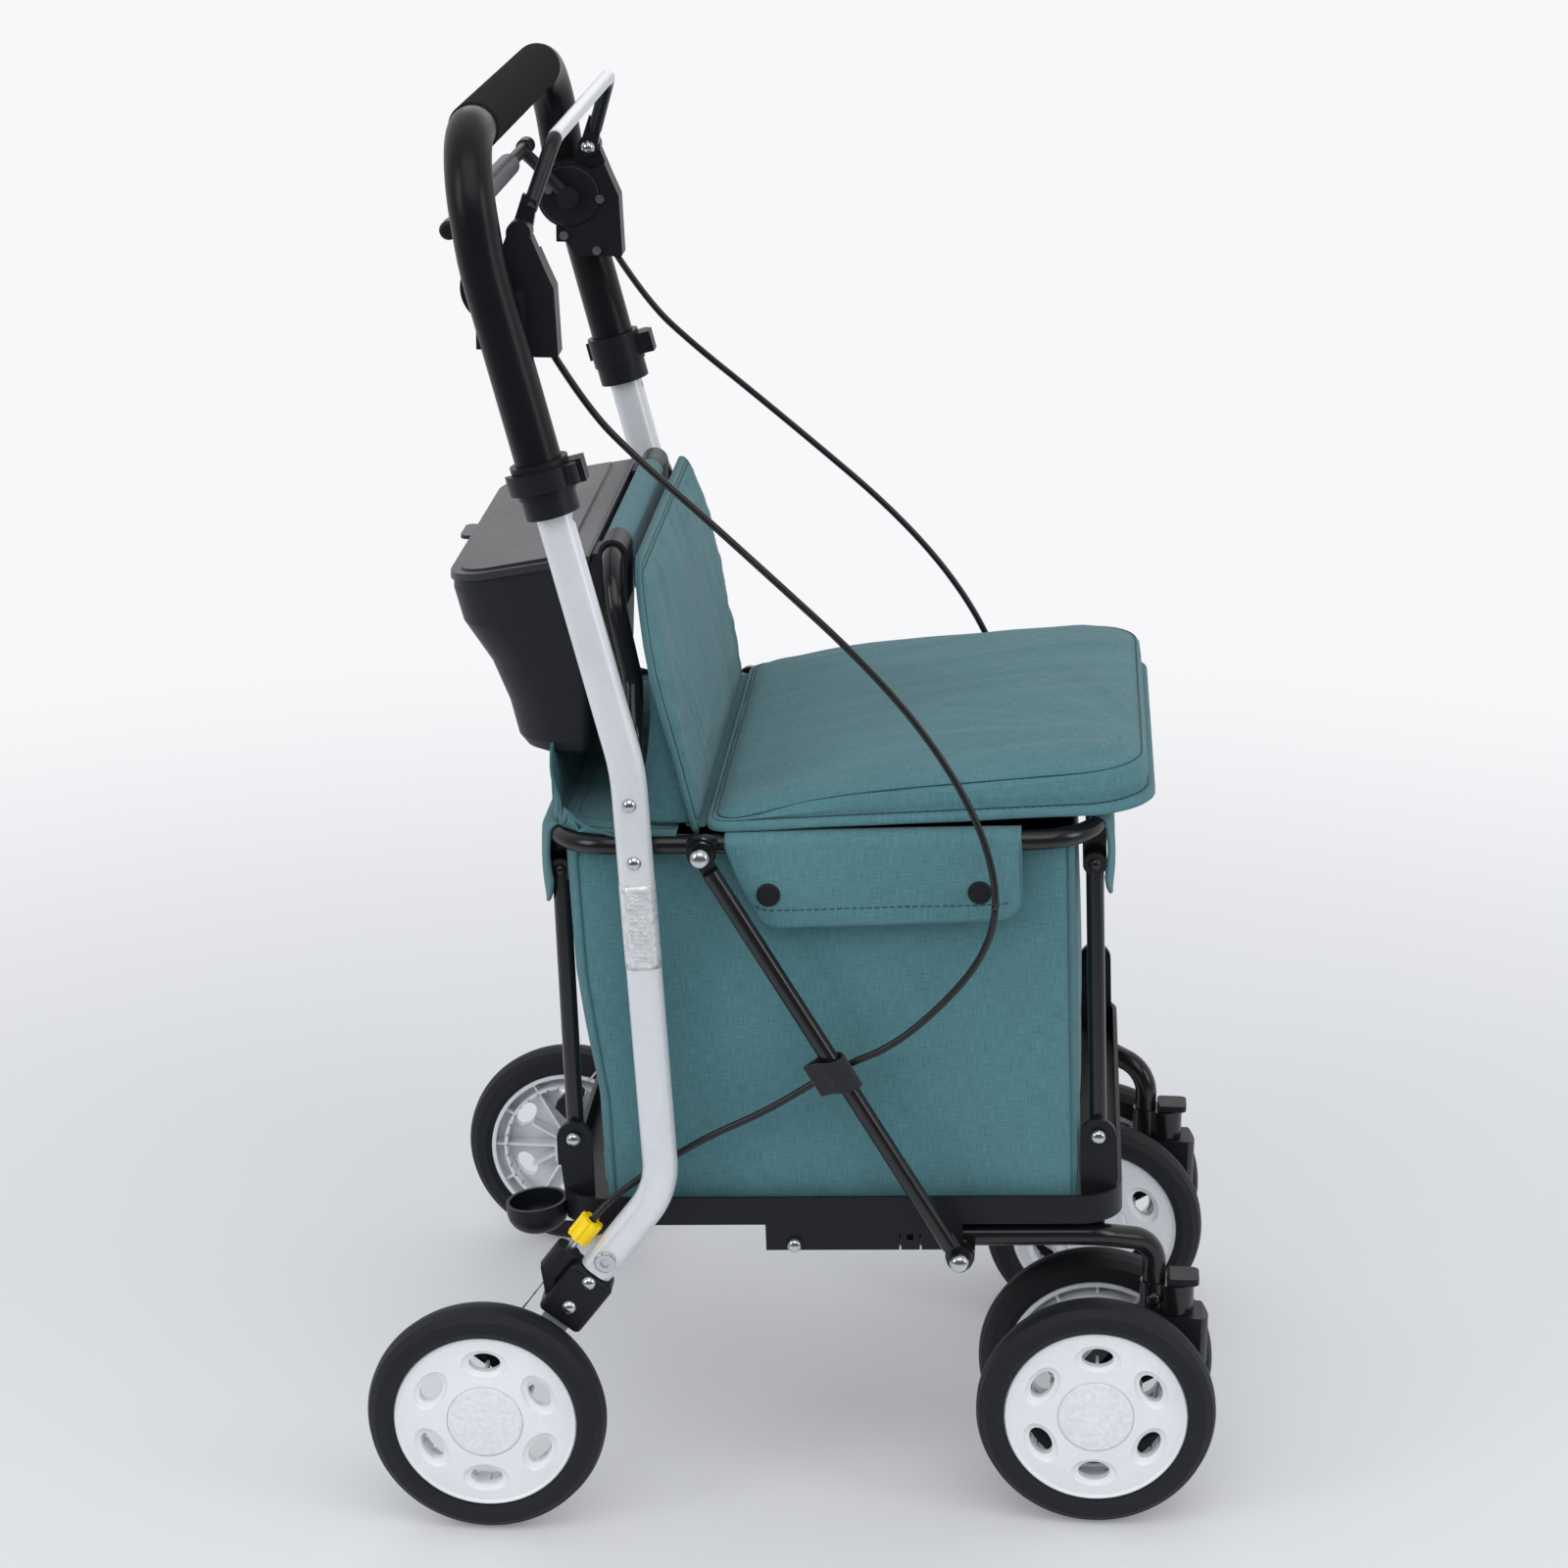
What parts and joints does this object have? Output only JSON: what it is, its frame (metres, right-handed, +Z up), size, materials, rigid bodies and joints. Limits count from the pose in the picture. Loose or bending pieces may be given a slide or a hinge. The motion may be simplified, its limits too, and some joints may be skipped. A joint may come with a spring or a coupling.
{
  "type": "shopping rollator",
  "caption": "Folding shopping rollator: push handle with hand brake, padded seat over a fabric bag, rear box, twin-wheel front casters and large rear wheels.",
  "frame": {"origin": "on the ground, below the centre of the whole part's bounding box", "axes": "+X forward in the direction of travel, +Y to the user's left, +Z up"},
  "size_m": [0.582, 0.505, 0.9665],
  "materials": {
    "silver_tube": "satin silver paint over aluminium tube",
    "black_tube": "semi-gloss black",
    "rivet_steel": "nickel-plated",
    "black_plastic": "fine grained",
    "grey_plastic": "fine grained",
    "yellow_plastic": "smooth",
    "teal_fabric": "woven polyester canvas",
    "black_fabric": "woven polyester",
    "foam": "closed-cell foam",
    "cable_sheath": "smooth black sheath",
    "wheel_white": "moulded white",
    "tyre_black": "soft foamed tyre",
    "reflector_clear": "prismatic"
  },
  "bodies": {
    "frame": {"leg_right": "silver_tube", "leg_left": "silver_tube", "leg_rivets": "rivet_steel", "axle_brackets": "black_plastic", "axle_arms": "silver_tube", "brake_wires": "rivet_steel", "brake_cable_right": "cable_sheath", "brake_cable_left": "cable_sheath", "seat_ring": "black_tube", "backrest_frame": "black_tube", "backrest_pad": "teal_fabric", "seat_rear_cover": "teal_fabric", "bag": "teal_fabric", "bag_flaps": "teal_fabric", "press_studs": "black_plastic", "storage_box": "black_plastic"},
    "box_lid": {"box_lid": "black_plastic"},
    "seat_lid": {"seat_cushion": "teal_fabric"},
    "handle": {"handle_tube": "black_tube", "foam_grip": "foam", "brake_housings": "black_plastic", "housing_screws": "rivet_steel", "height_collars": "black_plastic"},
    "clamp_right": {"collar_lever_right": "black_plastic"},
    "clamp_left": {"collar_lever_left": "black_plastic"},
    "bail": {"brake_bail": "silver_tube"},
    "parking_bar": {"parking_bar": "grey_plastic"},
    "nut_right": {"adjuster_nut_right": "yellow_plastic"},
    "nut_left": {"adjuster_nut_left": "yellow_plastic"},
    "brake_right": {"brake_lever_right": "grey_plastic"},
    "brake_left": {"brake_lever_left": "grey_plastic"},
    "rear_posts": {"rear_posts": "black_tube"},
    "tray_frame": {"tray": "black_plastic", "umbrella_cup": "black_plastic", "lower_frame": "black_tube"},
    "front_posts": {"front_posts": "black_tube"},
    "struts": {"struts": "black_tube", "cable_straps": "black_fabric"},
    "caster_right": {"caster_fork_right": "black_plastic"},
    "caster_left": {"caster_fork_left": "black_plastic"},
    "lock_right": {"lock_lever_right": "grey_plastic"},
    "lock_left": {"lock_lever_left": "grey_plastic"},
    "wheel_rear_right": {"tyre_rear_right": "tyre_black", "hub_rear_right": "wheel_white", "reflector_rear_right": "reflector_clear"},
    "wheel_rear_left": {"tyre_rear_left": "tyre_black", "hub_rear_left": "wheel_white", "reflector_rear_left": "reflector_clear"},
    "wheel_caster_right_outer": {"tyre_caster_right_outer": "tyre_black", "hub_caster_right_outer": "wheel_white", "reflector_caster_right_outer": "reflector_clear"},
    "wheel_caster_right_inner": {"tyre_caster_right_inner": "tyre_black", "hub_caster_right_inner": "wheel_white", "reflector_caster_right_inner": "reflector_clear"},
    "wheel_caster_left_outer": {"tyre_caster_left_outer": "tyre_black", "hub_caster_left_outer": "wheel_white", "reflector_caster_left_outer": "reflector_clear"},
    "wheel_caster_left_inner": {"tyre_caster_left_inner": "tyre_black", "hub_caster_left_inner": "wheel_white", "reflector_caster_left_inner": "reflector_clear"}
  },
  "joints": [
    {"name": "fold", "type": "hinge", "parent": "frame", "child": "rear_posts", "pos_m": [-0.16244, 0, 0.45521], "axis": [0, 1, 0], "range_deg": [0, 55], "deforming": ["bag", "seat_rear_cover", "brake_cable_right", "brake_cable_left"]},
    {"name": "tray_level", "type": "hinge", "parent": "rear_posts", "child": "tray_frame", "pos_m": [-0.15435, 0, 0.26238], "axis": [0, 1, 0], "range_deg": [-55, 0]},
    {"name": "front_post_swing", "type": "hinge", "parent": "frame", "child": "front_posts", "pos_m": [0.19625, 0, 0.47024], "axis": [0, 1, 0], "range_deg": [0, 55]},
    {"name": "strut_swing", "type": "hinge", "parent": "frame", "child": "struts", "pos_m": [-0.0635, 0, 0.4834], "axis": [0, 1, 0], "range_deg": [0, 33]},
    {"name": "box_lid_hinge", "type": "hinge", "parent": "frame", "child": "box_lid", "pos_m": [-0.14526, 0, 0.66512], "axis": [0, 1, 0], "range_deg": [0, 80]},
    {"name": "seat_hinge", "type": "hinge", "parent": "frame", "child": "seat_lid", "pos_m": [-0.0581, 0, 0.49707], "axis": [0, -1, 0], "range_deg": [0, 50]},
    {"name": "handle_height", "type": "slide", "parent": "frame", "child": "handle", "axis": [-0.2622, 0, 0.965], "range_m": [-0.05, 0.025]},
    {"name": "clamp_lever_right", "type": "hinge", "parent": "handle", "child": "clamp_right", "pos_m": [-0.14199, -0.2212, 0.7314], "axis": [-0.2622, 0, 0.965], "range_deg": [0, 90]},
    {"name": "clamp_lever_left", "type": "hinge", "parent": "handle", "child": "clamp_left", "pos_m": [-0.14199, 0.2212, 0.7314], "axis": [0.2622, 0, -0.965], "range_deg": [0, 90]},
    {"name": "brake_bail_squeeze", "type": "hinge", "parent": "handle", "child": "bail", "pos_m": [-0.1801, 0, 0.89], "axis": [0, -1, 0], "range_deg": [0, 22], "stiffness_Nm_per_rad": 3, "springref_deg": -8.59},
    {"name": "parking_bar_swing", "type": "hinge", "parent": "handle", "child": "parking_bar", "pos_m": [-0.194, 0, 0.855], "axis": [0, -1, 0], "range_deg": [0, 25]},
    {"name": "adjuster_turn_right", "type": "hinge", "parent": "frame", "child": "nut_right", "pos_m": [-0.13245, -0.208, 0.22524], "axis": [0.594, 0, 0.8045], "continuous": true},
    {"name": "adjuster_turn_left", "type": "hinge", "parent": "frame", "child": "nut_left", "pos_m": [-0.13245, 0.208, 0.22524], "axis": [0.594, 0, 0.8045], "continuous": true},
    {"name": "brake_lever_swing_right", "type": "hinge", "parent": "frame", "child": "brake_right", "pos_m": [-0.19183, -0.208, 0.10003], "axis": [0, 1, 0], "range_deg": [0, 5.5]},
    {"name": "brake_lever_swing_left", "type": "hinge", "parent": "frame", "child": "brake_left", "pos_m": [-0.19183, 0.208, 0.10003], "axis": [0, 1, 0], "range_deg": [0, 5.5]},
    {"name": "caster_swivel_right", "type": "hinge", "parent": "tray_frame", "child": "caster_right", "pos_m": [0.2615, -0.154, 0.12], "axis": [0, 0, 1], "continuous": true},
    {"name": "swivel_lock_right", "type": "hinge", "parent": "tray_frame", "child": "lock_right", "pos_m": [0.258, -0.154, 0.1659], "axis": [0, -1, 0], "range_deg": [0, 30]},
    {"name": "rear_wheel_spin_right", "type": "hinge", "parent": "frame", "child": "wheel_rear_right", "pos_m": [-0.2085, -0.2365, 0.0825], "axis": [0, 1, 0], "continuous": true},
    {"name": "caster_outer_spin_right", "type": "hinge", "parent": "caster_right", "child": "wheel_caster_right_outer", "pos_m": [0.2085, -0.1953, 0.0825], "axis": [0, 1, 0], "continuous": true},
    {"name": "caster_inner_spin_right", "type": "hinge", "parent": "caster_right", "child": "wheel_caster_right_inner", "pos_m": [0.2085, -0.1127, 0.0825], "axis": [0, 1, 0], "continuous": true},
    {"name": "caster_swivel_left", "type": "hinge", "parent": "tray_frame", "child": "caster_left", "pos_m": [0.2615, 0.154, 0.12], "axis": [0, 0, 1], "continuous": true},
    {"name": "swivel_lock_left", "type": "hinge", "parent": "tray_frame", "child": "lock_left", "pos_m": [0.258, 0.154, 0.1659], "axis": [0, -1, 0], "range_deg": [0, 30]},
    {"name": "rear_wheel_spin_left", "type": "hinge", "parent": "frame", "child": "wheel_rear_left", "pos_m": [-0.2085, 0.2365, 0.0825], "axis": [0, 1, 0], "continuous": true},
    {"name": "caster_outer_spin_left", "type": "hinge", "parent": "caster_left", "child": "wheel_caster_left_outer", "pos_m": [0.2085, 0.1953, 0.0825], "axis": [0, 1, 0], "continuous": true},
    {"name": "caster_inner_spin_left", "type": "hinge", "parent": "caster_left", "child": "wheel_caster_left_inner", "pos_m": [0.2085, 0.1127, 0.0825], "axis": [0, 1, 0], "continuous": true}
  ],
  "couplings": [
    {"joint": "tray_level", "follows": "fold", "ratio": -1},
    {"joint": "front_post_swing", "follows": "fold", "ratio": 1},
    {"joint": "strut_swing", "follows": "fold", "ratio": 0.58},
    {"joint": "brake_lever_swing_right", "follows": "brake_bail_squeeze", "ratio": 0.24},
    {"joint": "brake_lever_swing_left", "follows": "brake_bail_squeeze", "ratio": 0.24}
  ]
}
